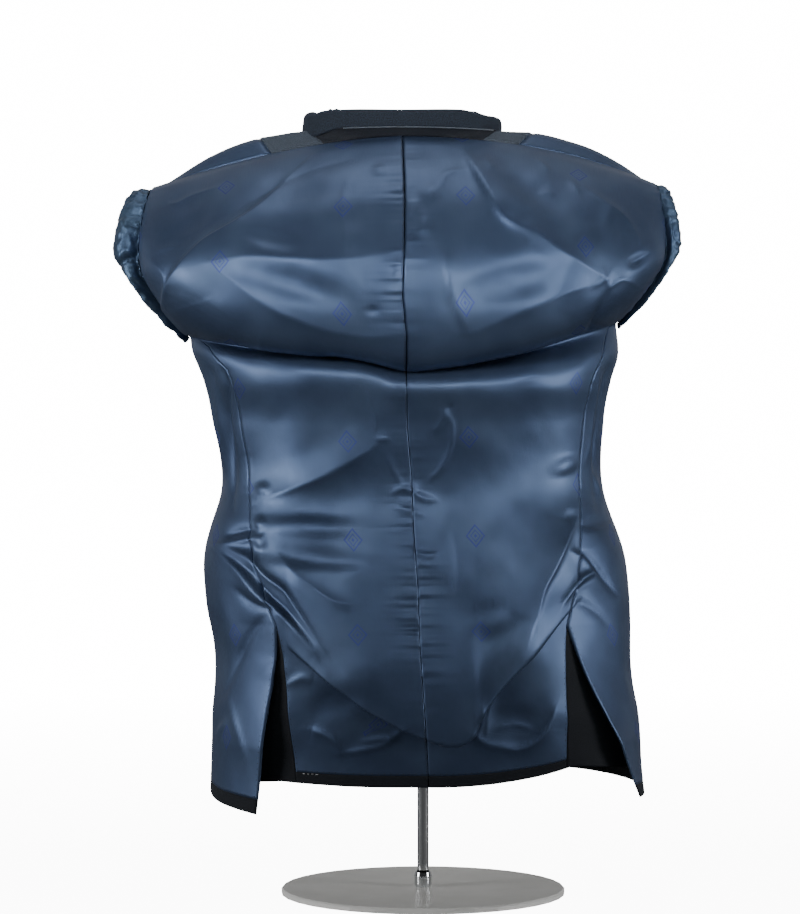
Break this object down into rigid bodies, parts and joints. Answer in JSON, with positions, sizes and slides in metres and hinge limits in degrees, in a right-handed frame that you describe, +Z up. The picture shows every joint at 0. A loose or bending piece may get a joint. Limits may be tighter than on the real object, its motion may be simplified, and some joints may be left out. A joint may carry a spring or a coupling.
{
  "type": "inside-out sport coat on a limbless dress form",
  "caption": "Sport coat worn inside out, satin lining out and sleeves pushed in, on a limbless dress form with a pole and a round base.",
  "frame": {"origin": "centre of the underside of the stand's round base, under the pole", "axes": "+Z up the pole, +Y the way the coat's front faces, +X to the coat's right side, which is at the right when its back is looked at"},
  "size_m": [0.5985, 0.3472, 0.8241],
  "materials": {
    "satin_lining": "satin",
    "dark_suiting": "matt wool twill",
    "jersey": "matt jersey",
    "chrome": "polished",
    "white_powder_coat": "semi-gloss"
  },
  "bodies": {
    "root": {"back_lining_left": "satin_lining", "back_lining_right": "satin_lining", "back_neck_facing": "dark_suiting", "collar": "dark_suiting", "form_torso": "jersey", "front_facing_left": "dark_suiting", "front_facing_right": "dark_suiting", "front_lining_left": "satin_lining", "front_lining_right": "satin_lining", "hem_back_left": "dark_suiting", "hem_back_right": "dark_suiting", "hem_front_left": "dark_suiting", "hem_front_right": "dark_suiting", "hem_side_left": "dark_suiting", "hem_side_right": "dark_suiting", "lapel_left": "dark_suiting", "lapel_right": "dark_suiting", "side_lining_left": "satin_lining", "side_lining_right": "satin_lining", "sleeve_left": "satin_lining", "sleeve_right": "satin_lining", "stand_base": "white_powder_coat", "stand_pole": "chrome", "stand_socket": "chrome", "vent_facing_left": "dark_suiting", "vent_facing_right": "dark_suiting"}
  },
  "joints": []
}
